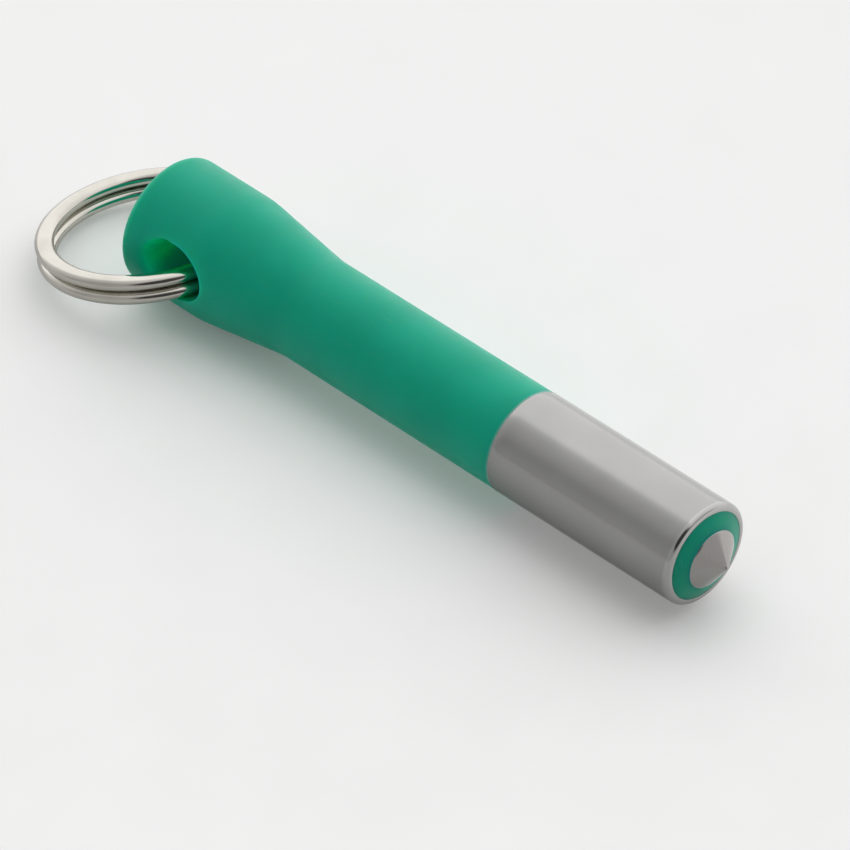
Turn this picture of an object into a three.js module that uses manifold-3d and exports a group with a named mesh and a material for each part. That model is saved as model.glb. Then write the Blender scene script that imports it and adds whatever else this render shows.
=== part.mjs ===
// Magnetic hand key that detaches security tags: a moulded grip with a split ring through its head,
// and a stainless sleeve that holds a stack of magnets behind a pointed steel pole piece.
// Millimetres. +X runs along the key's axis towards its point, +Z is up, and the origin is the
// centre of the flat end face of the grip's head.

import * as THREE from 'three';
import { mergeVertices } from 'three/addons/utils/BufferGeometryUtils.js';
import Module from 'manifold-3d';

// Grip
const headDiameter = 16;
const headLength = 11.1;
const endRound = 1.2;
const taperLength = 12.2;
const stemLength = 33.3;
const headBlend = 14;
const footBlend = 3;
const spigotLength = 4.57;
const spigotChamfer = 0.4;

// Split ring: one wire, two turns, one on the other
const ringWireWidth = 2.4;
const ringWireThickness = 1.7;
const ringTurnGap = 0.08;
const ringSideRoom = 3.05;
const ringStepAngle = 26;
const ringStepPlace = 62;
const ringEndGap = 2;
const ringWallGap = 1.4;
const ringOffset = -1.15;
const ringDrop = 0.45;
const ringDroop = 12.3;
const ringTwist = -1.5;

// Oval cross hole in the head, and the room that the split ring has in it
const holeSetback = 8.1;
const holeLengthRoom = 3.93;
const holeHeightRoom = 1.3;
const holeLean = 7.9;
const mouthDepth = 3.5;
const mouthRoundFront = 0.15;
const mouthRoundSide = 0.4;
const mouthRoundRear = 1.3;
const cutterOverrun = 1.5;

// Magnet stack and its steel pieces
const magnetDiameter = 8;
const magnetLength = 3.6;
const magnetChamfer = 0.25;
const magnetCount = 4;
const poleDiscThickness = 0.8;
const plateChamfer = 0.1;
const backPlateThickness = 1;
const padThickness = 1;
const padRound = 0.25;
const tipFlangeThickness = 1.5;
const tipFlangeStep = 0.4;
const tipSlope = 33;
const tipNoseRadius = 0.25;

// Carrier and sleeve around the stack
const fitGap = 0.15;
const stackGap = 0.15;
const carrierWall = 1.3;
const carrierLipThickness = 0.8;
const carrierNoseSlope = 30;
const sleeveWall = 0.75;
const sleeveSeam = 0.15;
const rimInset = 0.08;
const lipRound = 0.65;
const lipInnerRound = 0.08;
const stemStep = 0.05;

// Facets
const roundFacets = 56;
const innerFacets = 32;
const ringSteps = 92;
const wireSegments = 5;
const mouthSteps = 6;
const endRoundSteps = 6;
const headBlendSteps = 4;
const footBlendSteps = 2;
const lipSteps = 5;
const tipNoseSteps = 4;

const degrees = Math.PI / 180;

const wasm = await Module();
wasm.setup();

// Radii, from the magnets outwards
const magnetRadius = magnetDiameter / 2;
const neckRadius = magnetRadius - tipFlangeStep;
const carrierBore = magnetRadius + fitGap;
const carrierRadius = carrierBore + carrierWall;
const boreRadius = carrierRadius + fitGap;
const sleeveRadius = boreRadius + sleeveWall;
const spigotRadius = boreRadius - fitGap;
const stemRadius = sleeveRadius - stemStep;
const headRadius = headDiameter / 2;

// Places along the key's axis, from the end face to the tip
const stemStart = headLength + taperLength;
const stemEnd = stemStart + stemLength;
const sleeveStart = stemEnd + sleeveSeam;
const spigotEnd = stemEnd + spigotLength;
const carrierBack = spigotEnd + stackGap;
const padFront = carrierBack + padThickness;
const backPlateBack = padFront + stackGap;
const backPlateFront = backPlateBack + backPlateThickness;
const magnetPitch = magnetLength + poleDiscThickness + 2 * stackGap;
const magnetBack = (index) => backPlateFront + stackGap + index * magnetPitch;
const flangeBack = magnetBack(magnetCount - 1) + magnetLength + stackGap;
const flangeFront = flangeBack + tipFlangeThickness;
const noseRim = flangeFront + carrierLipThickness;
const sleeveEnd = noseRim + rimInset;
const noseRise = (carrierWall + tipFlangeStep) * Math.tan(carrierNoseSlope * degrees);
const coneBase = noseRim + noseRise;

// The ring clears the head all round. The hole clears the ring's two turns, the bow of the ring
// between the mouths, and its own lean.
const ringRadius = headRadius + ringSideRoom + ringWireWidth / 2;
const ringPitch = ringWireThickness + ringTurnGap;
const ringBow = ringRadius - Math.sqrt(ringRadius ** 2 - headRadius ** 2);
const holeLength = ringWireWidth + ringBow + holeLengthRoom;
const holeRise = headDiameter * Math.tan(holeLean * degrees);
const holeHeight = ringPitch + ringWireThickness + holeRise + holeHeightRoom;

// A profile is a list of [place along the axis, radius] pairs, and this is a round stretch of one
function arc(place, radius, size, from, to, steps) {
  const points = [];
  for (let i = 0; i <= steps; i += 1) {
    const angle = (from + (to - from) * i / steps) * degrees;
    points.push([place + size * Math.cos(angle), radius + size * Math.sin(angle)]);
  }
  return points;
}

// Rounds the corner of a profile at b with an arc that touches a-b and b-c
function corner(a, b, c, size, steps) {
  const start = new THREE.Vector2(...b);
  const back = new THREE.Vector2(...a).sub(start).normalize();
  const ahead = new THREE.Vector2(...c).sub(start).normalize();
  const half = Math.acos(back.dot(ahead)) / 2;
  const centre = back.clone().add(ahead).normalize().multiplyScalar(size / Math.sin(half)).add(start);
  const first = back.multiplyScalar(size / Math.tan(half)).add(start).sub(centre);
  const last = ahead.multiplyScalar(size / Math.tan(half)).add(start).sub(centre);
  const turn = Math.atan2(first.cross(last), first.dot(last));
  const points = [];
  for (let i = 0; i <= steps; i += 1) {
    const point = first.clone().rotateAround(new THREE.Vector2(), turn * i / steps).add(centre);
    points.push([point.x, point.y]);
  }
  return points;
}

// Turns a profile about the key's axis
function turned(profile, facets) {
  const outline = profile.map(([place, radius]) => new THREE.Vector2(radius, place));
  return new THREE.LatheGeometry(outline, facets).rotateZ(-Math.PI / 2);
}

// A plain round disc or plug with chamfered rims
function disc(back, front, radius, chamfer) {
  return turned([
    [back, 0],
    [back, radius - chamfer],
    [back + chamfer, radius],
    [front - chamfer, radius],
    [front, radius - chamfer],
    [front, 0],
  ], innerFacets);
}

function toSolid(geometry) {
  const bare = geometry.clone();
  bare.deleteAttribute('normal');
  bare.deleteAttribute('uv');
  const merged = mergeVertices(bare, 1e-5);
  return new wasm.Manifold(new wasm.Mesh({
    numProp: 3,
    vertProperties: new Float32Array(merged.attributes.position.array),
    triVerts: new Uint32Array(merged.index.array),
  }));
}

function toGeometry(solid) {
  const mesh = solid.getMesh();
  const geometry = new THREE.BufferGeometry();
  geometry.setAttribute('position', new THREE.BufferAttribute(new Float32Array(mesh.vertProperties), 3));
  geometry.setIndex(new THREE.BufferAttribute(new Uint32Array(mesh.triVerts), 1));
  geometry.computeVertexNormals();
  return geometry;
}

// Oval plug of the cross hole. Its mouths open out, most of all towards the head's end face.
function holeCutter() {
  const mouthStart = headRadius - mouthDepth;
  const reach = headRadius + cutterOverrun;
  const levels = [];
  for (let i = 0; i <= mouthSteps; i += 1) {
    levels.push(mouthStart + (reach - mouthStart) * i / mouthSteps);
  }
  const plug = new THREE.LatheGeometry([
    new THREE.Vector2(0, -reach),
    ...levels.map((level) => new THREE.Vector2(1, -level)).reverse(),
    ...levels.map((level) => new THREE.Vector2(1, level)),
    new THREE.Vector2(0, reach),
  ], roundFacets);
  const place = plug.attributes.position;
  for (let i = 0; i < place.count; i += 1) {
    const x = place.getX(i);
    const z = place.getZ(i);
    const size = Math.hypot(x, z);
    if (size > 0) {
      const rear = (1 - x / size) / 2;
      const out = (Math.abs(place.getY(i)) - mouthStart) / mouthDepth;
      const spread = mouthRoundFront * (1 - rear) * (1 - 2 * rear)
        + mouthRoundSide * 4 * rear * (1 - rear)
        + mouthRoundRear * rear * (2 * rear - 1);
      place.setX(i, x * (holeLength / 2 + spread * out * out));
      place.setZ(i, z * (holeHeight / 2 + spread * out * out));
    }
  }
  return plug.rotateX(-holeLean * degrees).translate(holeSetback, 0, 0);
}

// The grip: head, taper, stem, and the spigot that plugs the sleeve
function gripGeometry() {
  const taperTop = [headLength, headRadius];
  const taperFoot = [stemStart, stemRadius];
  const body = turned([
    [0, 0],
    ...arc(endRound, headRadius - endRound, endRound, 180, 90, endRoundSteps),
    ...corner([endRound, headRadius], taperTop, taperFoot, headBlend, headBlendSteps),
    ...corner(taperTop, taperFoot, [stemEnd, stemRadius], footBlend, footBlendSteps),
    [stemEnd, stemRadius],
    [stemEnd, spigotRadius],
    [spigotEnd - spigotChamfer, spigotRadius],
    [spigotEnd, spigotRadius - spigotChamfer],
    [spigotEnd, 0],
  ], roundFacets);
  return toGeometry(toSolid(body).subtract(toSolid(holeCutter())));
}

// The stainless sleeve, with its front rim rounded over
function sleeveGeometry() {
  const start = [sleeveStart, boreRadius];
  const back = [sleeveStart, sleeveRadius];
  const rim = [sleeveEnd, sleeveRadius];
  return turned([
    start,
    back,
    ...corner(back, rim, [sleeveEnd, boreRadius], lipRound, lipSteps),
    [sleeveEnd, boreRadius + lipInnerRound],
    [sleeveEnd - lipInnerRound, boreRadius],
    start,
  ], roundFacets);
}

// The liner that carries the stack. Its nose is the sloping ring seen round the tip.
function carrierGeometry() {
  const noseBore = neckRadius + fitGap;
  const start = [carrierBack, carrierBore];
  return turned([
    start,
    [carrierBack, carrierRadius],
    [noseRim, carrierRadius],
    [coneBase, noseBore],
    [flangeFront + stackGap, noseBore],
    [flangeFront + stackGap, carrierBore],
    start,
  ], roundFacets);
}

// The steel pole piece: a flange behind the carrier's lip, a neck, and the point that touches the tag
function tipGeometry() {
  const coneLength = neckRadius * Math.tan(tipSlope * degrees);
  const base = [coneBase, neckRadius];
  const apex = [coneBase + coneLength, 0];
  const mirrored = [coneBase, -neckRadius];
  const half = tipNoseSteps / 2;
  const nose = corner(base, apex, mirrored, tipNoseRadius, tipNoseSteps).slice(0, half + 1);
  nose[half][1] = 0;
  return turned([
    [flangeBack, 0],
    [flangeBack, magnetRadius - magnetChamfer],
    [flangeBack + magnetChamfer, magnetRadius],
    [flangeFront, magnetRadius],
    [flangeFront, neckRadius],
    base,
    ...nose,
  ], roundFacets);
}

// Centre line of the split ring in its own plane, with angle 0 towards the key's point. The wire
// makes one turn above, steps down over a short arc, and makes a second turn below.
class SplitRingLine extends THREE.Curve {
  getPoint(t, target = new THREE.Vector3()) {
    const first = ringStepPlace + ringStepAngle / 2 + ringEndGap;
    const last = ringStepPlace + 720 - ringStepAngle / 2 - ringEndGap;
    const angle = first + (last - first) * t;
    const through = (angle - ringStepPlace - 360) / ringStepAngle + 0.5;
    const level = 0.5 - THREE.MathUtils.smootherstep(through, 0, 1);
    return target.set(
      ringRadius * Math.cos(angle * degrees),
      ringRadius * Math.sin(angle * degrees),
      level * ringPitch,
    );
  }
}

function splitRingGeometry() {
  const section = new THREE.Shape();
  section.absellipse(0, 0, ringWireThickness / 2, ringWireWidth / 2, 0, 2 * Math.PI);
  return new THREE.ExtrudeGeometry(section, {
    steps: ringSteps,
    curveSegments: wireSegments,
    bevelEnabled: false,
    extrudePath: new SplitRingLine(),
  });
}

const gripPlastic = new THREE.MeshStandardMaterial({ color: 0x14826a, roughness: 0.45, metalness: 0 });
const linerPlastic = new THREE.MeshStandardMaterial({ color: 0x177f63, roughness: 0.5, metalness: 0 });
const stainless = new THREE.MeshStandardMaterial({ color: 0xb4b4b2, roughness: 0.3, metalness: 1 });
const turnedSteel = new THREE.MeshStandardMaterial({ color: 0x9a9a98, roughness: 0.35, metalness: 1 });
const nickel = new THREE.MeshStandardMaterial({ color: 0xc4c0ba, roughness: 0.15, metalness: 1 });
const softSteel = new THREE.MeshStandardMaterial({ color: 0x8f9092, roughness: 0.4, metalness: 1 });
const rubber = new THREE.MeshStandardMaterial({ color: 0x202224, roughness: 0.8, metalness: 0 });

const key = new THREE.Group();

function add(name, geometry, material, parent = key) {
  const mesh = new THREE.Mesh(geometry, material);
  mesh.name = name;
  parent.add(mesh);
}

add('grip', gripGeometry(), gripPlastic);
add('sleeve', sleeveGeometry(), stainless);
add('magnet_carrier', carrierGeometry(), linerPlastic);
add('tip_pole', tipGeometry(), turnedSteel);

for (let i = 0; i < magnetCount; i += 1) {
  const back = magnetBack(i);
  const front = back + magnetLength;
  add(`magnet_${i + 1}`, disc(back, front, magnetRadius, magnetChamfer), nickel);
  if (i < magnetCount - 1) {
    const discBack = front + stackGap;
    const poleDisc = disc(discBack, discBack + poleDiscThickness, magnetRadius, plateChamfer);
    add(`pole_disc_${i + 1}`, poleDisc, softSteel);
  }
}

add('back_plate', disc(backPlateBack, backPlateFront, magnetRadius, plateChamfer), softSteel);
add('rubber_pad', disc(carrierBack, padFront, magnetRadius, padRound), rubber);

// The split ring hangs in the hole: its wire lies forward in it, and the ring droops to the rear
const ringFrame = new THREE.Group();
const ringHold = holeSetback + holeLength / 2 - ringWallGap - ringWireWidth / 2;
const ringReach = ringRadius * Math.cos(ringDroop * degrees);
const ringFall = ringRadius * Math.sin(ringDroop * degrees);
ringFrame.position.set(ringHold - ringReach, ringOffset, -ringDrop - ringFall);
ringFrame.rotation.set(ringTwist * degrees, -ringDroop * degrees, 0, 'YXZ');
add('split_ring', splitRingGeometry(), nickel, ringFrame);
key.add(ringFrame);

export default key;
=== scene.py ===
import math

import bmesh
import bpy
from mathutils import Matrix, Vector


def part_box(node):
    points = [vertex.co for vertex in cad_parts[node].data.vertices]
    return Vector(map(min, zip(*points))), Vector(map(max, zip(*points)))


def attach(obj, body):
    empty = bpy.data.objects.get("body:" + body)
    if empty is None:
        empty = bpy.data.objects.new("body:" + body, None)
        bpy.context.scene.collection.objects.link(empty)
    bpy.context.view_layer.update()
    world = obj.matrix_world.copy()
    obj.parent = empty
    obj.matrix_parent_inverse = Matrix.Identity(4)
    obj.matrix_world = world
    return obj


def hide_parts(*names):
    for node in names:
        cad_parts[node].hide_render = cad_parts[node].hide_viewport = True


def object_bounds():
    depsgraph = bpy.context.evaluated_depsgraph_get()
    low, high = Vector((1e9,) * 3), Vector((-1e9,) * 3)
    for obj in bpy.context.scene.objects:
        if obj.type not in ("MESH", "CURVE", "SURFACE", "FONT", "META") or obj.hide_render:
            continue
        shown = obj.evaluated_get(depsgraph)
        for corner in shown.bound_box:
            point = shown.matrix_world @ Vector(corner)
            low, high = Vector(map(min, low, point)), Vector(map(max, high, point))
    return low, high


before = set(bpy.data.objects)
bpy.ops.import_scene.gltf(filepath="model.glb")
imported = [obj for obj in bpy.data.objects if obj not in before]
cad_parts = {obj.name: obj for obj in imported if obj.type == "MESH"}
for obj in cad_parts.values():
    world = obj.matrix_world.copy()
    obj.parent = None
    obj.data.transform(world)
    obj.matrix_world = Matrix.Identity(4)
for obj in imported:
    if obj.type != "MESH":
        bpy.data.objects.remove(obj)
cad_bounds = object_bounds()
bpy.ops.object.select_all(action="DESELECT")

# ---------------------------------------------------------------------------------------------
# Studio. The key lies on pale paper over a light panel that fades out towards the front. A wide
# scrim lights it from above and behind, the room in front is darker, and the camera and whoever
# holds it leave one dark patch in that room.
# ---------------------------------------------------------------------------------------------
mm = 0.001

camera_azimuth = math.radians(44.065)
camera_elevation = math.radians(40.899)
camera_distance = 906.25 * mm
camera_aim = Vector((56.64, 0, 0)) * mm
camera_slide_right = -11.2 * mm
camera_slide_up = 1.89 * mm

camera_data = bpy.data.cameras.new("camera")
camera = bpy.data.objects.new("camera", camera_data)
bpy.context.scene.collection.objects.link(camera)
camera_data.sensor_width = 36
camera_data.lens = 345.35
camera_data.clip_start = 0.01
camera_data.clip_end = 20
camera_data.dof.use_dof = False
camera.rotation_euler = (math.pi / 2 - camera_elevation, 0, camera_azimuth)
turn = camera.rotation_euler.to_matrix()
slide = turn @ Vector((camera_slide_right, camera_slide_up, camera_distance))
camera.location = camera_aim + slide
bpy.context.scene.camera = camera
bpy.context.scene.view_settings.view_transform = "Standard"


def link_nodes(tree, *wires):
    """Wires (node, output name, node, input name) in a node tree."""
    for source, output, target, socket in wires:
        tree.links.new(source.outputs[output], target.inputs[socket])


def ramp(tree, *stops):
    """A colour ramp with its stops given as (place, colour)."""
    node = tree.nodes.new("ShaderNodeValToRGB")
    elements = node.color_ramp.elements
    while len(elements) < len(stops):
        elements.new(0.5)
    for element, (place, colour) in zip(elements, stops):
        element.position = place
        element.color = (*colour, 1) if isinstance(colour, tuple) else (colour, colour, colour, 1)
    return node


scrim = 1.3
person_direction = (0.804, -0.362, 0.472)

world = bpy.data.worlds.new("studio")
bpy.context.scene.world = world
world.use_nodes = True
sky = world.node_tree
sky.nodes.clear()
direction = sky.nodes.new("ShaderNodeTexCoord")
split = sky.nodes.new("ShaderNodeSeparateXYZ")
across = sky.nodes.new("ShaderNodeMapRange")
across.inputs["From Min"].default_value = -1
along = sky.nodes.new("ShaderNodeMapRange")
along.inputs["From Min"].default_value = -1
front_to_back = ramp(
    sky,
    (0.0, 0.36), (0.08, 0.35), (0.105, 0.31), (0.146, 0.315), (0.203, 0.405), (0.273, 0.47),
    (0.353, 0.525), (0.439, 0.64), (0.5, 0.97), (1.0, 1.0),
)
left_to_right = ramp(sky, (0.35, 1.0), (0.5, 0.9), (0.8, 0.78), (0.86, 0.48), (1.0, 0.46))
dimmer = sky.nodes.new("ShaderNodeMath")
dimmer.operation = "MINIMUM"
towards_camera = sky.nodes.new("ShaderNodeVectorMath")
towards_camera.operation = "DOT_PRODUCT"
towards_camera.inputs[1].default_value = turn @ Vector((0, 0, 1))
towards_person = sky.nodes.new("ShaderNodeVectorMath")
towards_person.operation = "DOT_PRODUCT"
towards_person.inputs[1].default_value = person_direction
nearest = sky.nodes.new("ShaderNodeMath")
nearest.operation = "MAXIMUM"
dark_patch = ramp(sky, (0.89, 1.0), (0.955, 0.1))
shaded = sky.nodes.new("ShaderNodeMath")
shaded.operation = "MULTIPLY"
background = sky.nodes.new("ShaderNodeBackground")
background.inputs["Strength"].default_value = scrim
sky_output = sky.nodes.new("ShaderNodeOutputWorld")
link_nodes(
    sky,
    (direction, "Generated", split, "Vector"),
    (split, "Y", across, "Value"),
    (split, "X", along, "Value"),
    (across, "Result", front_to_back, "Fac"),
    (along, "Result", left_to_right, "Fac"),
    (front_to_back, "Color", dimmer, 0),
    (left_to_right, "Color", dimmer, 1),
    (direction, "Generated", towards_camera, 0),
    (direction, "Generated", towards_person, 0),
    (towards_camera, "Value", nearest, 0),
    (towards_person, "Value", nearest, 1),
    (nearest, "Value", dark_patch, "Fac"),
    (dimmer, "Value", shaded, 0),
    (dark_patch, "Color", shaded, 1),
    (shaded, "Value", background, "Color"),
    (background, "Background", sky_output, "Surface"),
)

floor_size = 6
floor_middle = 30 * mm
floor_gap = 0.02 * mm
paper_unlit = (0.68, 0.68, 0.675)
paper_lit = (0.95, 0.95, 0.945)

# The light panel under the paper: where it fades out, how strongly it lights the key and how
# brightly it shows through
panel_front = -10 * mm
panel_back = 25 * mm
panel_strength = 0.18
panel_seen = 0.09

bpy.ops.mesh.primitive_plane_add(
    size=floor_size, location=(floor_middle, 0, cad_bounds[0].z - floor_gap),
)
floor = bpy.context.object
floor.name = "paper_floor"
paper = bpy.data.materials.new("pale_paper")
paper.use_nodes = True
paper_shader = paper.node_tree.nodes["Principled BSDF"]
paper_shader.inputs["Roughness"].default_value = 0.95
paper_shader.inputs["Specular IOR Level"].default_value = 0.1
paper_place = paper.node_tree.nodes.new("ShaderNodeTexCoord")
paper_fibre = paper.node_tree.nodes.new("ShaderNodeTexNoise")
paper_fibre.inputs["Scale"].default_value = 90
paper_seen = ramp(paper.node_tree, (0.3, (0.955, 0.955, 0.95)), (0.7, (0.975, 0.975, 0.97)))
paper_split = paper.node_tree.nodes.new("ShaderNodeSeparateXYZ")
paper_depth = paper.node_tree.nodes.new("ShaderNodeMapRange")
paper_depth.inputs["From Min"].default_value = panel_front
paper_depth.inputs["From Max"].default_value = panel_back
paper_bounce = ramp(paper.node_tree, (0.0, paper_unlit), (1.0, paper_lit))
paper_glow = paper.node_tree.nodes.new("ShaderNodeMath")
paper_glow.operation = "MULTIPLY"
paper_glow.inputs[1].default_value = panel_strength
paper_ray = paper.node_tree.nodes.new("ShaderNodeLightPath")
paper_light = paper.node_tree.nodes.new("ShaderNodeMixRGB")
paper_light.inputs["Color2"].default_value = (panel_seen, panel_seen, panel_seen, 1)
paper_shader.inputs["Emission Color"].default_value = (1, 1, 0.995, 1)
paper_mix = paper.node_tree.nodes.new("ShaderNodeMixRGB")
link_nodes(
    paper.node_tree,
    (paper_place, "Object", paper_fibre, "Vector"),
    (paper_fibre, "Fac", paper_seen, "Fac"),
    (paper_place, "Object", paper_split, "Vector"),
    (paper_split, "Y", paper_depth, "Value"),
    (paper_depth, "Result", paper_bounce, "Fac"),
    (paper_bounce, "Color", paper_mix, "Color1"),
    (paper_seen, "Color", paper_mix, "Color2"),
    (paper_ray, "Is Camera Ray", paper_mix, "Fac"),
    (paper_depth, "Result", paper_glow, 0),
    (paper_glow, "Value", paper_light, "Color1"),
    (paper_ray, "Is Camera Ray", paper_light, "Fac"),
    (paper_light, "Color", paper_shader, "Emission Strength"),
    (paper_mix, "Color", paper_shader, "Base Color"),
)
floor.data.materials.append(paper)

# ---------------------------------------------------------------------------------------------
# Grip. One injection moulding in satin green plastic: a round head, a taper down to the stem,
# and a spigot pressed into the sleeve. An oval hole passes through the head, left by a core pin,
# with its mouths rounded over, most of all at the rear where the ring rubs.
# ---------------------------------------------------------------------------------------------
grip_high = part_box("grip")[1]
sleeve_low, sleeve_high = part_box("sleeve")
head_radius = grip_high.z
head_length = 11.1 * mm
end_round = 1.2 * mm
stem_start = 23.3 * mm
stem_radius = 6.3 * mm
stem_end = sleeve_low.x - 0.03 * mm
stem_edge_round = 0.12 * mm
head_blend = 14 * mm
foot_blend = 10 * mm
spigot_radius = 5.4 * mm
spigot_chamfer = 0.4 * mm
gate_radius = 1.2 * mm
gate_depth = 0.12 * mm
gate_slope = 0.25 * mm
gate_groove = 0.35 * mm
gate_lift = 0.3 * gate_depth
round_sides = 192

hole_place = 8.36 * mm
hole_length = 8.8 * mm
hole_height = 6.74 * mm
hole_lean = math.radians(7.9)
hole_sides = 160
mouth_depth = 3.5 * mm
mouth_front = 0.15 * mm
mouth_side = 0.1 * mm
mouth_rear = 1.0 * mm
mouth_steps = 14
cutter_overrun = 1.2 * mm
lip_reach = 1.6 * mm
lip_passes = 18
lip_start = 0.08
lip_narrowing = 0.34
lip_inner = 0.4
lip_outer = 0.77

# How near a vertex has to be to a radius, a plane or an end to be picked, and to another vertex
# to be welded to it
near = 0.01 * mm
in_plane = 0.001 * mm
end_margin = 0.1 * mm
weld_gap = 0.001 * mm


def add_round(name, start, end, radius):
    """A cylinder along the key's axis, left in edit mode."""
    bpy.ops.object.select_all(action="DESELECT")
    bpy.ops.mesh.primitive_cylinder_add(
        vertices=round_sides, radius=radius, depth=end - start, end_fill_type="NGON",
        location=((start + end) / 2, 0, 0), rotation=(0, math.pi / 2, 0),
    )
    bpy.ops.object.transform_apply(location=True, rotation=True, scale=True)
    piece = bpy.context.object
    piece.name = name
    piece.data.name = name
    bpy.ops.object.mode_set(mode="EDIT")
    return piece


def pick(piece, kind, test):
    """Selects the vertices, edges or faces of a piece whose vertices' places pass a test."""
    bpy.ops.mesh.select_all(action="DESELECT")
    bpy.ops.mesh.select_mode(type=kind)
    shape = bmesh.from_edit_mesh(piece.data)
    shape.verts.ensure_lookup_table()
    items = {"VERT": shape.verts, "EDGE": shape.edges, "FACE": shape.faces}[kind]
    for item in items:
        corners = [item] if kind == "VERT" else item.verts
        item.select = test([corner.co for corner in corners])
    shape.select_flush_mode()
    bmesh.update_edit_mesh(piece.data)


def all_at(x):
    """A test for what lies in the plane at x."""
    return lambda places: all(abs(place.x - x) < in_plane for place in places)


def grow(stations):
    """Extrudes the selected flat end along the axis through (x, radius) stations."""
    for (x, radius), (next_x, next_radius) in zip(stations, stations[1:]):
        if next_x == x:
            bpy.ops.mesh.extrude_region_move()
        else:
            bpy.ops.mesh.extrude_region_move(TRANSFORM_OT_translate={"value": (next_x - x, 0, 0)})
        if next_radius != radius:
            size = next_radius / radius
            bpy.ops.transform.resize(value=(1, size, size), center_override=(next_x, 0, 0))


def round_edge(piece, x, radius, size, steps):
    """Rounds the edge that runs round a piece at x and radius. One step makes a chamfer."""
    pick(piece, "EDGE", lambda places: all(
        abs(place.x - x) < near and abs(place.yz.length - radius) < near for place in places
    ))
    bpy.ops.mesh.bevel(
        offset=size, segments=steps, profile=0.5, affect="EDGES", clamp_overlap=False,
    )


def cut_lengthwise(piece, start, end, cuts):
    """Subdivides the edges that run along the axis between two places."""
    pick(piece, "EDGE", lambda places: (
        abs(places[0].x - places[1].x) > 0.5 * abs(end - start)
        and all(start - end_margin < place.x < end + end_margin for place in places)
    ))
    bpy.ops.mesh.subdivide(number_cuts=cuts)


def close_up():
    """Welds doubled vertices, turns all faces outwards and leaves edit mode."""
    bpy.ops.mesh.select_all(action="SELECT")
    bpy.ops.mesh.remove_doubles(threshold=weld_gap)
    bpy.ops.mesh.normals_make_consistent(inside=False)
    bpy.ops.object.mode_set(mode="OBJECT")


def smooth(piece, angle):
    """Smooth shading, with edges sharper than the angle left crisp."""
    bpy.ops.object.select_all(action="DESELECT")
    bpy.context.view_layer.objects.active = piece
    piece.select_set(True)
    bpy.ops.object.shade_smooth_by_angle(angle=math.radians(angle))
    piece.select_set(False)


taper_angle = math.atan2(head_radius - stem_radius, stem_start - head_length)
head_corner = head_blend * math.tan(taper_angle / 2)
foot_corner = foot_blend * math.tan(taper_angle / 2)

grip = add_round("grip_body", 0, head_length, head_radius)
pick(grip, "FACE", all_at(head_length))
grow([
    (head_length, head_radius),
    (stem_start, stem_radius),
    (stem_end, stem_radius),
    (stem_end, spigot_radius),
    (grip_high.x, spigot_radius),
])
round_edge(grip, 0, head_radius, end_round, steps=14)
round_edge(grip, head_length, head_radius, head_corner, steps=8)
round_edge(grip, stem_start, stem_radius, foot_corner, steps=6)
round_edge(grip, stem_end, stem_radius, stem_edge_round, steps=3)
round_edge(grip, grip_high.x, spigot_radius, spigot_chamfer, steps=1)
cut_lengthwise(grip, end_round, head_length - head_corner, cuts=32)
cut_lengthwise(grip, head_length + head_corner, stem_start - foot_corner, cuts=32)
cut_lengthwise(grip, stem_start + foot_corner, stem_end - stem_edge_round, cuts=30)

# The gate where the plastic was fed in, a shallow dish in the middle of the end face
pick(grip, "FACE", all_at(0))
bpy.ops.mesh.inset(thickness=head_radius - end_round - gate_radius, depth=0)
bpy.ops.mesh.inset(thickness=gate_slope, depth=-gate_depth)
bpy.ops.mesh.inset(thickness=gate_groove, depth=gate_lift)
close_up()

# The core pin that leaves the oval hole, flared a little more at each step towards its ends
mouth_start = head_radius - mouth_depth
stride = (mouth_depth + cutter_overrun) / mouth_steps
bpy.ops.object.select_all(action="DESELECT")
bpy.ops.mesh.primitive_cylinder_add(
    vertices=hole_sides, radius=1 * mm, depth=2 * mouth_start, rotation=(math.pi / 2, 0, 0),
)
core_pin = bpy.context.object
core_pin.scale = (hole_length / 2 / mm, hole_height / 2 / mm, 1)
bpy.ops.object.transform_apply(location=True, rotation=True, scale=True)
bpy.ops.object.mode_set(mode="EDIT")
pick(core_pin, "EDGE", lambda places: abs(places[0].y - places[1].y) > mouth_start)
bpy.ops.mesh.subdivide(number_cuts=20)
for side in (-1, 1):
    pick(core_pin, "FACE", lambda places: all(
        abs(place.y - side * mouth_start) < near for place in places
    ))
    length, height, shift = hole_length, hole_height, 0
    for level in range(1, mouth_steps + 1):
        spread = (level * stride / mouth_depth) ** 2
        next_length = hole_length + (mouth_front + mouth_rear) * spread
        next_height = hole_height + 2 * mouth_side * spread
        next_shift = (mouth_front - mouth_rear) / 2 * spread
        bpy.ops.mesh.extrude_region_move(
            TRANSFORM_OT_translate={"value": (next_shift - shift, side * stride, 0)}
        )
        bpy.ops.transform.resize(
            value=(next_length / length, 1, next_height / height),
            center_override=(next_shift, 0, 0),
        )
        length, height, shift = next_length, next_height, next_shift
close_up()
core_pin.rotation_euler.x = -hole_lean
core_pin.location.x = hole_place
bpy.ops.object.transform_apply(location=True, rotation=True, scale=True)

cut = grip.modifiers.new("hole", "BOOLEAN")
cut.object = core_pin
cut.operation = "DIFFERENCE"
cut.solver = "EXACT"
bpy.ops.object.select_all(action="DESELECT")
bpy.context.view_layer.objects.active = grip
grip.select_set(True)
bpy.ops.object.modifier_apply(modifier="hole")
bpy.data.objects.remove(core_pin)

# The rear lips are rounded over by relaxing the mesh there, in a band that narrows to the rear
bpy.ops.object.mode_set(mode="EDIT")


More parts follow.
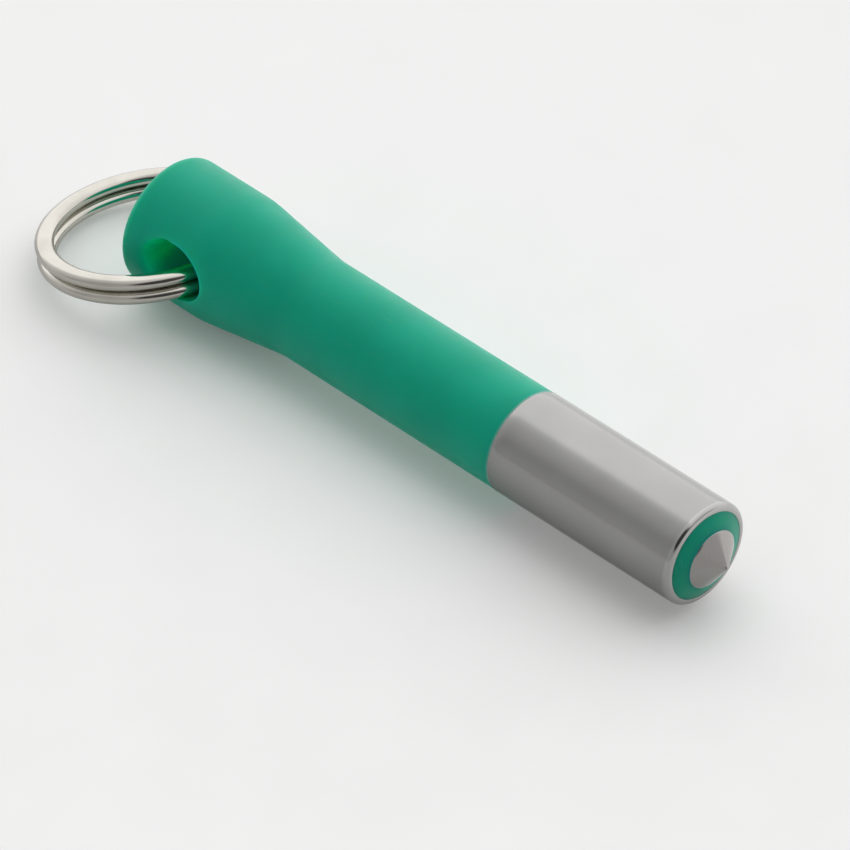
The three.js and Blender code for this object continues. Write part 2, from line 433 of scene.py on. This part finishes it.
def rear_lip(reach):
    """A test for what is near the mouths' edges and behind the middle of the hole by reach. Both
    are measured in shares of the hole's length and height."""
    def near_lip(places):
        across = (places[0].x - hole_place) / hole_length
        upward = (places[0].z + places[0].y * math.tan(hole_lean)) / hole_height
        outside = abs(places[0].yz.length - head_radius) < lip_reach
        ring_round = lip_inner < math.hypot(across, upward) < lip_outer
        return across < -reach and outside and ring_round
    return near_lip


for lip_pass in range(lip_passes):
    pick(grip, "VERT", rear_lip(lip_start + lip_narrowing * lip_pass / lip_passes))
    bpy.ops.mesh.vertices_smooth(factor=0.5, repeat=2)
close_up()
smooth(grip, angle=38)


def new_material(name, metallic, roughness):
    """A material with its Principled shader, its tree and the Object coordinates."""
    made = bpy.data.materials.new(name)
    made.use_nodes = True
    tree = made.node_tree
    shader = tree.nodes["Principled BSDF"]
    shader.inputs["Metallic"].default_value = metallic
    shader.inputs["Roughness"].default_value = roughness
    return made, tree, shader, tree.nodes.new("ShaderNodeTexCoord")


def noise(tree, place, scale, detail=3, stretch=(1, 1, 1), roughness=0.5):
    """Noise in Object coordinates, with a scale in features to the metre."""
    mapping = tree.nodes.new("ShaderNodeMapping")
    mapping.inputs["Scale"].default_value = stretch
    texture = tree.nodes.new("ShaderNodeTexNoise")
    texture.inputs["Scale"].default_value = scale
    texture.inputs["Detail"].default_value = detail
    texture.inputs["Roughness"].default_value = roughness
    link_nodes(tree, (place, "Object", mapping, "Vector"), (mapping, "Vector", texture, "Vector"))
    return texture


def bump(tree, height, strength, distance, below=None):
    """A bump from a texture's height, laid over another bump."""
    node = tree.nodes.new("ShaderNodeBump")
    node.inputs["Strength"].default_value = strength
    node.inputs["Distance"].default_value = distance
    source, output = height
    tree.links.new(source.outputs[output], node.inputs["Height"])
    if below is not None:
        tree.links.new(below.outputs["Normal"], node.inputs["Normal"])
    return node


def blend_colours(tree, mask, under, over):
    """Mixes two colours by a mask. Each of them is a node with a colour output, or a colour."""
    node = tree.nodes.new("ShaderNodeMix")
    node.data_type = "RGBA"
    tree.links.new(mask, node.inputs["Factor"])
    for socket, colour in (("A", under), ("B", over)):
        target = [i for i in node.inputs if i.name == socket and i.type == "RGBA"][0]
        if isinstance(colour, tuple):
            target.default_value = (*colour, 1)
        else:
            tree.links.new(colour, target)
    return [o for o in node.outputs if o.type == "RGBA"][0]


green_deep = (0.001, 0.395, 0.25)
green_pale = (0.002, 0.435, 0.28)
dust_green = (0.28, 0.55, 0.45)
scratch_green = (0.08, 0.4, 0.29)

# The stem's edge against the sleeve is made paler over a narrow band
pale_band_green = (0.35, 0.62, 0.52)
pale_band_start = 0.3 * mm
pale_band_end = 0.05 * mm
pale_band_strength = 0.75

# The rear wall of the hole has a painted glow in its colour, most of all high up, standing in for
# light that comes through the plastic.
# The glow sets in below the skin, between two radii from the axis.
glow_low = (0.001, 0.36, 0.23)
glow_high = (0.001, 0.92, 0.54)
glow_length = 20 * mm
glow_skin = 7.96 * mm
glow_full = 7.2 * mm
glow_bottom = -3.2 * mm


def green_plastic(name, deep, pale, stem_edge=None, painted_hole_glow=False):
    """Satin green moulding: faint mottling, eroded-mould grain, dust specks and a few scratches.
    The grip's is also paler in a band at the stem's edge, and has a painted glow on the hole's
    rear wall, lighter high up."""
    made, tree, shader, place = new_material(name, metallic=0, roughness=0.42)
    shader.inputs["Specular IOR Level"].default_value = 0.42
    shader.inputs["Specular Tint"].default_value = (0.3, 1, 0.9, 1)
    shader.inputs["Subsurface Weight"].default_value = 1.0
    shader.inputs["Subsurface Radius"].default_value = (0.08, 1.0, 0.5)
    shader.inputs["Subsurface Scale"].default_value = 3.5 * mm
    mottle = noise(tree, place, scale=160, detail=4)
    tone = ramp(tree, (0.32, deep), (0.68, pale))
    link_nodes(tree, (mottle, "Fac", tone, "Fac"))
    speck = tree.nodes.new("ShaderNodeTexVoronoi")
    speck.inputs["Scale"].default_value = 210
    speck_mask = ramp(tree, (0.018, 0.5), (0.034, 0.0))
    link_nodes(
        tree,
        (place, "Object", speck, "Vector"),
        (speck, "Distance", speck_mask, "Fac"),
    )
    colour = blend_colours(
        tree, speck_mask.outputs["Color"], tone.outputs["Color"], dust_green
    )
    scratch = noise(tree, place, scale=300, detail=1, stretch=(0.6, 9, 0.6))
    scratch_mask = ramp(tree, (0.70, 0.0), (0.708, 0.55), (0.716, 0.0))
    link_nodes(tree, (scratch, "Fac", scratch_mask, "Fac"))
    colour = blend_colours(tree, scratch_mask.outputs["Color"], colour, scratch_green)
    # A narrow band at the stem's edge is made paler
    if stem_edge is not None:
        split = tree.nodes.new("ShaderNodeSeparateXYZ")
        edge = tree.nodes.new("ShaderNodeMapRange")
        edge.inputs["From Min"].default_value = stem_edge - pale_band_start
        edge.inputs["From Max"].default_value = stem_edge - pale_band_end
        edge.inputs["To Max"].default_value = pale_band_strength
        link_nodes(tree, (place, "Object", split, "Vector"), (split, "X", edge, "Value"))
        colour = blend_colours(tree, edge.outputs["Result"], colour, pale_band_green)
    # Painted glow: the hole's rear wall is lightened in the base colour, lighter high up
    if painted_hole_glow:
        split_wall = tree.nodes.new("ShaderNodeSeparateXYZ")
        along_wall = tree.nodes.new("ShaderNodeMath")
        along_wall.operation = "MULTIPLY"
        along_wall.inputs[1].default_value = 1 / glow_length
        rear_wall = ramp(tree, (0.1, 0.0), (0.2, 1.0), (0.3, 1.0), (0.4, 0.1), (0.5, 0.0))
        crosswise = tree.nodes.new("ShaderNodeVectorMath")
        crosswise.operation = "MULTIPLY"
        crosswise.inputs[1].default_value = (0, 1, 1)
        from_axis = tree.nodes.new("ShaderNodeVectorMath")
        from_axis.operation = "LENGTH"
        under_skin = tree.nodes.new("ShaderNodeMapRange")
        under_skin.inputs["From Min"].default_value = glow_skin
        under_skin.inputs["From Max"].default_value = glow_full
        glow_mask = tree.nodes.new("ShaderNodeMath")
        glow_mask.operation = "MULTIPLY"
        upward = tree.nodes.new("ShaderNodeMapRange")
        upward.inputs["From Min"].default_value = glow_bottom
        upward.inputs["From Max"].default_value = 0
        glow = ramp(tree, (0.0, glow_low), (1.0, glow_high))
        link_nodes(
            tree,
            (place, "Object", split_wall, "Vector"),
            (split_wall, "X", along_wall, 0),
            (along_wall, "Value", rear_wall, "Fac"),
            (place, "Object", crosswise, 0),
            (crosswise, "Vector", from_axis, 0),
            (from_axis, "Value", under_skin, "Value"),
            (rear_wall, "Color", glow_mask, 0),
            (under_skin, "Result", glow_mask, 1),
            (split_wall, "Z", upward, "Value"),
            (upward, "Result", glow, "Fac"),
        )
        colour = blend_colours(tree, glow_mask.outputs["Value"], colour, glow.outputs["Color"])
    tree.links.new(colour, shader.inputs["Base Color"])
    gloss = noise(tree, place, scale=420)
    gloss_range = ramp(tree, (0.3, 0.38), (0.7, 0.47))
    link_nodes(
        tree,
        (gloss, "Fac", gloss_range, "Fac"),
        (gloss_range, "Color", shader, "Roughness"),
    )
    wave = bump(tree, (mottle, "Fac"), strength=0.25, distance=0.02 * mm)
    pits = noise(tree, place, scale=5200, detail=2)
    grain = bump(tree, (pits, "Fac"), strength=0.35, distance=0.006 * mm, below=wave)
    scored = bump(
        tree, (scratch_mask, "Color"), strength=0.3, distance=-0.01 * mm, below=grain
    )
    link_nodes(tree, (scored, "Normal", shader, "Normal"))
    return made


grip.data.materials.clear()
grip.data.materials.append(
    green_plastic(
        "green_plastic", green_deep, green_pale, stem_edge=stem_end, painted_hole_glow=True,
    )
)
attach(grip, "key_body")
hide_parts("grip")

# ---------------------------------------------------------------------------------------------
# Sleeve. A length of half-inch stainless tube, satin polished while it turned, pushed over the
# spigot. Its front rim is rolled over, polished glossier than the wall and lightened as a painted
# highlight.
# ---------------------------------------------------------------------------------------------
carrier_low, carrier_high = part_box("magnet_carrier")
sleeve_radius = sleeve_high.z
carrier_radius = carrier_high.z
bore_clearance = 0.01 * mm
sleeve_bore = carrier_radius + bore_clearance
rim_round = 0.62 * mm
rear_round = 0.06 * mm
bore_round = 0.03 * mm
stainless = (0.415, 0.412, 0.402)
rim_gloss_and_highlight_fade = 0.12 * mm
rim_highlight_lift = 1.12
rim_gloss = (0.09, 0.09, 0.09)

sleeve = add_round("sleeve_tube", sleeve_low.x, sleeve_high.x, sleeve_radius)
round_edge(sleeve, sleeve_high.x, sleeve_radius, rim_round, steps=12)
round_edge(sleeve, sleeve_low.x, sleeve_radius, rear_round, steps=2)
for end in (sleeve_high.x, sleeve_low.x):
    pick(sleeve, "FACE", all_at(end))
    bpy.ops.mesh.delete(type="FACE")

# Each end gets its flat rim, and the bore is bridged between the two inner circles
for end, rounding in ((sleeve_low.x, rear_round), (sleeve_high.x, rim_round)):
    pick(sleeve, "EDGE", all_at(end))
    bpy.ops.mesh.extrude_region_move()
    inward = sleeve_bore / (sleeve_radius - rounding)
    bpy.ops.transform.resize(value=(1, inward, inward), center_override=(end, 0, 0))
pick(sleeve, "EDGE", lambda places: all(
    abs(place.yz.length - sleeve_bore) < near for place in places
))
bpy.ops.mesh.bridge_edge_loops()
round_edge(sleeve, sleeve_high.x, sleeve_bore, bore_round, steps=2)
cut_lengthwise(sleeve, sleeve_low.x, sleeve_high.x, cuts=24)
close_up()
smooth(sleeve, angle=40)


def brushed_steel(name, base, roughness, turned, line_height, anisotropic=0.0, rim=None):
    """Turned and polished steel: lines round the axis, cloudy polish and a few cross scratches.
    From the rim on it is polished glossier, and its colour is lightened as a painted highlight."""
    made, tree, shader, place = new_material(name, metallic=1, roughness=roughness)
    shader.inputs["Anisotropic"].default_value = anisotropic
    cloud = noise(tree, place, scale=90, detail=4)
    low = tuple(value * 0.93 for value in base)
    high = tuple(value * 1.05 for value in base)
    tone = ramp(tree, (0.3, low), (0.7, high))
    link_nodes(tree, (cloud, "Fac", tone, "Fac"))
    colour = tone.outputs["Color"]
    lines = noise(tree, place, scale=300, detail=5, stretch=(turned, 1, 1), roughness=0.7)
    shine = ramp(tree, (0.25, roughness * 0.8), (0.75, roughness * 1.25))
    link_nodes(tree, (lines, "Fac", shine, "Fac"))
    gloss = shine.outputs["Color"]
    # From the rim on: lower roughness, and a lighter colour as a painted highlight
    if rim is not None:
        split = tree.nodes.new("ShaderNodeSeparateXYZ")
        polish = tree.nodes.new("ShaderNodeMapRange")
        polish.inputs["From Min"].default_value = rim - rim_gloss_and_highlight_fade
        polish.inputs["From Max"].default_value = rim
        link_nodes(tree, (place, "Object", split, "Vector"), (split, "X", polish, "Value"))
        bright = tuple(value * rim_highlight_lift for value in base)
        colour = blend_colours(tree, polish.outputs["Result"], colour, bright)
        gloss = blend_colours(tree, polish.outputs["Result"], gloss, rim_gloss)
    tree.links.new(colour, shader.inputs["Base Color"])
    tree.links.new(gloss, shader.inputs["Roughness"])
    scratch = noise(tree, place, scale=260, detail=1, stretch=(0.5, 8, 5))
    scratch_mask = ramp(tree, (0.73, 0.0), (0.738, 1.0), (0.746, 0.0))
    link_nodes(tree, (scratch, "Fac", scratch_mask, "Fac"))
    waves = bump(tree, (cloud, "Fac"), strength=0.2, distance=0.01 * mm)
    grooves = bump(tree, (lines, "Fac"), strength=0.3, distance=line_height, below=waves)
    scored = bump(
        tree, (scratch_mask, "Color"), strength=0.2, distance=-0.003 * mm, below=grooves
    )
    link_nodes(tree, (scored, "Normal", shader, "Normal"))
    return made


sleeve.data.materials.clear()
sleeve.data.materials.append(
    brushed_steel(
        "satin_stainless", stainless, roughness=0.2, turned=45, line_height=0.0012 * mm,
        rim=sleeve_high.x - rim_round,
    )
)
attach(sleeve, "key_body")
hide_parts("sleeve")

# ---------------------------------------------------------------------------------------------
# Carrier. A moulded liner in the grip's green that holds the magnets inside the sleeve. Its
# sloping nose fills the ring between the sleeve's rim and the steel point.
# ---------------------------------------------------------------------------------------------
tip_low, tip_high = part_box("tip_pole")
neck_radius = 3.6 * mm
neck_clearance = 0.02 * mm
nose_bore = neck_radius + neck_clearance
nose_setback = 0.02 * mm
nose_rim = sleeve_high.x - nose_setback
nose_edge_round = 0.03 * mm
cone_base = carrier_high.x
magnet_bore = 4.15 * mm
lip_back = tip_low.x + 1.65 * mm
open_end = carrier_low.x + 0.01 * mm
liner_deep = (0.001, 0.3, 0.18)
liner_pale = (0.002, 0.33, 0.2)

carrier = add_round("carrier_nose", carrier_low.x, nose_rim, carrier_radius)
pick(carrier, "FACE", all_at(nose_rim))
grow([(nose_rim, carrier_radius), (cone_base, nose_bore)])
round_edge(carrier, nose_rim, carrier_radius, nose_edge_round, steps=3)
pick(carrier, "FACE", all_at(cone_base))
grow([
    (cone_base, nose_bore),
    (lip_back, nose_bore),
    (lip_back, magnet_bore),
    (open_end, magnet_bore),
])
bpy.ops.mesh.delete(type="FACE")
pick(carrier, "FACE", all_at(carrier_low.x))
bpy.ops.mesh.delete(type="FACE")
pick(carrier, "EDGE", lambda places: all(place.x < open_end + near for place in places))
bpy.ops.mesh.bridge_edge_loops()
close_up()
smooth(carrier, angle=38)

carrier.data.materials.clear()
carrier.data.materials.append(green_plastic("green_liner_plastic", liner_deep, liner_pale))
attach(carrier, "key_body")
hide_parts("magnet_carrier")

# ---------------------------------------------------------------------------------------------
# Point. The pole piece at the front of the magnets, turned from mild steel bar: a flange that
# the liner's lip holds, a neck, and a blunt cone with the turning marks left on it.
# ---------------------------------------------------------------------------------------------
flange_radius = tip_high.z
flange_front = tip_low.x + 1.5 * mm
flange_chamfer = 0.25 * mm
cone_slope = math.radians(33)
cone_edge_round = 0.03 * mm
shortest_flank = 0.5 * mm
point_round = 0.25 * mm
point_steps = 6
bar_steel = (0.405, 0.39, 0.375)

tip = add_round("steel_point", tip_low.x, flange_front, flange_radius)
round_edge(tip, tip_low.x, flange_radius, flange_chamfer, steps=1)
pick(tip, "FACE", all_at(flange_front))
round_centre = tip_high.x - point_round
point_sweep = math.radians(90) - cone_slope
point_arc = []
for step in range(point_steps):
    angle = point_sweep * (1 - step / point_steps)
    point_arc.append(
        (round_centre + point_round * math.cos(angle), point_round * math.sin(angle))
    )
grow([
    (flange_front, flange_radius),
    (flange_front, neck_radius),
    (cone_base, neck_radius),
    *point_arc,
])
bpy.ops.mesh.merge(type="COLLAPSE")
round_edge(tip, cone_base, neck_radius, cone_edge_round, steps=2)
pick(tip, "EDGE", lambda places: (
    abs(places[0].x - places[1].x) > shortest_flank
    and all(place.x > cone_base - end_margin for place in places)
))
bpy.ops.mesh.subdivide(number_cuts=12)
close_up()
smooth(tip, angle=30)

tip.data.materials.clear()
tip.data.materials.append(
    brushed_steel("turned_steel", bar_steel, roughness=0.16, turned=60, line_height=0.001 * mm)
)
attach(tip, "key_body")
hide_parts("tip_pole")

# ---------------------------------------------------------------------------------------------
# Split ring. Flattened spring wire wound two turns round and nickel plated. The wire lies in
# one turn, steps down across its own width, and lies in the second turn. Angles are in degrees.
# ---------------------------------------------------------------------------------------------
ring_radius = 12.23 * mm
wire_width = 2.3 * mm
wire_thickness = 1.7 * mm
turn_pitch = 1.78 * mm
step_angle = 26
step_place = 62
end_gap = 2
cut_end_round = 0.15 * mm
ring_droop = math.radians(12.3)
ring_twist = math.radians(-1.5)
ring_hold = Vector((10.15, -1.15, -0.45)) * mm
ring_steps = 345
wire_sides = 40
nickel_dull = (0.57, 0.545, 0.49)
nickel_bright = (0.66, 0.635, 0.58)

bpy.ops.object.select_all(action="DESELECT")
bpy.ops.mesh.primitive_circle_add(
    vertices=wire_sides, radius=1 * mm, fill_type="NGON",
    location=(ring_radius, 0, turn_pitch / 2), rotation=(math.pi / 2, 0, 0),
)
ring = bpy.context.object
ring.name = "split_ring_wire"
ring.data.name = "split_ring_wire"
ring.scale = (wire_width / 2 / mm, wire_thickness / 2 / mm, 1)
bpy.ops.object.transform_apply(location=True, rotation=True, scale=True)

first_angle = step_place + step_angle / 2 + end_gap
last_angle = step_place + 720 - step_angle / 2 - end_gap
bpy.ops.object.mode_set(mode="EDIT")
bpy.ops.mesh.select_all(action="SELECT")
bpy.ops.transform.rotate(
    value=-math.radians(first_angle), orient_axis="Z", center_override=(0, 0, 0)
)


def turn_level(angle):
    """Height of the wire at an angle: half a pitch up, then a smooth step to half a pitch down."""
    through = min(max((angle - step_place - 360) / step_angle + 0.5, 0), 1)
    return turn_pitch * (0.5 - through ** 3 * (through * (6 * through - 15) + 10))


for step in range(ring_steps):
    angle = first_angle + (last_angle - first_angle) * step / ring_steps
    next_angle = first_angle + (last_angle - first_angle) * (step + 1) / ring_steps
    bpy.ops.mesh.extrude_region_move(
        TRANSFORM_OT_translate={"value": (0, 0, turn_level(next_angle) - turn_level(angle))}
    )
    bpy.ops.transform.rotate(
        value=-math.radians(next_angle - angle), orient_axis="Z", center_override=(0, 0, 0)
    )
shape = bmesh.from_edit_mesh(ring.data)
bpy.ops.mesh.select_mode(type="FACE")
bpy.ops.mesh.select_all(action="DESELECT")
for face in shape.faces:
    face.select = len(face.verts) > 4
bmesh.update_edit_mesh(ring.data)
bpy.ops.mesh.bevel(offset=cut_end_round, segments=3, affect="EDGES")
close_up()
reach = Vector((ring_radius * math.cos(ring_droop), 0, ring_radius * math.sin(ring_droop)))
ring.matrix_world = (
    Matrix.Translation(ring_hold - reach)
    @ Matrix.Rotation(-ring_droop, 4, "Y")
    @ Matrix.Rotation(ring_twist, 4, "X")
)
bpy.ops.object.transform_apply(location=True, rotation=True, scale=True)
smooth(ring, angle=40)

nickel, tree, shader, place = new_material("bright_nickel", metallic=1, roughness=0.13)
plate_cloud = noise(tree, place, scale=240, detail=4)
plate_tone = ramp(tree, (0.3, nickel_dull), (0.7, nickel_bright))
plate_shine = ramp(tree, (0.3, 0.09), (0.75, 0.18))
rub = noise(tree, place, scale=900, detail=4, stretch=(1, 1, 5))
plate_waves = bump(tree, (plate_cloud, "Fac"), strength=0.25, distance=0.02 * mm)
rub_marks = bump(tree, (rub, "Fac"), strength=0.12, distance=0.004 * mm, below=plate_waves)
link_nodes(
    tree,
    (plate_cloud, "Fac", plate_tone, "Fac"),
    (plate_tone, "Color", shader, "Base Color"),
    (rub, "Fac", plate_shine, "Fac"),
    (plate_shine, "Color", shader, "Roughness"),
    (rub_marks, "Normal", shader, "Normal"),
)
ring.data.materials.clear()
ring.data.materials.append(nickel)
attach(ring, "ring")
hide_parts("split_ring")

# ---------------------------------------------------------------------------------------------
# Magnet stack. Four plated rare-earth magnets with soft steel discs between them, a backing
# plate and a rubber pad, slid into the liner from behind before the grip closes it.
# ---------------------------------------------------------------------------------------------
magnet_colour = (0.6, 0.585, 0.55)
disc_colour = (0.36, 0.36, 0.355)
rubber_black = (0.018, 0.018, 0.019)
rubber_grey = (0.04, 0.04, 0.042)

magnet_plate = brushed_steel(
    "magnet_nickel", magnet_colour, roughness=0.22, turned=1, line_height=0.001 * mm,
)
disc_steel = brushed_steel(
    "soft_disc_steel", disc_colour, roughness=0.38, turned=30, line_height=0.002 * mm,
    anisotropic=0.2,
)
pad_rubber, tree, shader, place = new_material("pad_rubber", metallic=0, roughness=0.8)
grit = noise(tree, place, scale=2600)
rubber_tone = ramp(tree, (0.3, rubber_black), (0.7, rubber_grey))
rubber_grain = bump(tree, (grit, "Fac"), strength=0.4, distance=0.02 * mm)
link_nodes(
    tree,
    (grit, "Fac", rubber_tone, "Fac"),
    (rubber_tone, "Color", shader, "Base Color"),
    (rubber_grain, "Normal", shader, "Normal"),
)

finish_of = {"back_plate": disc_steel, "rubber_pad": pad_rubber}
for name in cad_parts:
    if name.startswith("magnet_") and name != "magnet_carrier":
        finish_of[name] = magnet_plate
    elif name.startswith("pole_disc_"):
        finish_of[name] = disc_steel
for name, finish in finish_of.items():
    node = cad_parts[name]
    node.data.materials.clear()
    node.data.materials.append(finish)

bpy.context.view_layer.update()
